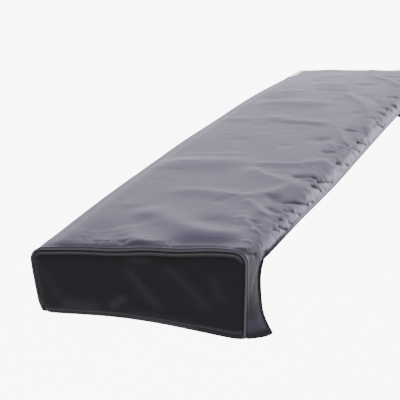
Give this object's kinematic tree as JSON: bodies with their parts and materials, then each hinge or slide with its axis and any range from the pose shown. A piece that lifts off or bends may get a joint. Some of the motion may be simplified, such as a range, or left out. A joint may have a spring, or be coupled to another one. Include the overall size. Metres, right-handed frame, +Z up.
{
  "type": "keyboard dust cover",
  "caption": "Long fitted cloth dust cover for a music keyboard: low front wall, wide top, black end panels with piped seams, open back with a short gathered skirt and flared corner tabs.",
  "frame": {"origin": "where the cover rests on the keyboard: the middle of the underside of its top", "axes": "+X along the cover to the near end, -Y to the player's side, +Z up"},
  "size_m": [1.3628, 0.3328, 0.1234],
  "materials": {
    "grey_cloth": "coated nylon, slightly glossy",
    "black_cloth_near": "coated nylon, dull",
    "black_cloth_far": "coated nylon, dull",
    "piping_near": "cord wrapped in coated nylon",
    "piping_far": "cord wrapped in coated nylon",
    "label": "woven tape"
  },
  "bodies": {
    "root": {"main_panel": "grey_cloth", "end_panel_near": "black_cloth_near", "end_panel_far": "black_cloth_far", "piping_near": "piping_near", "piping_far": "piping_far", "label": "label"}
  },
  "joints": []
}
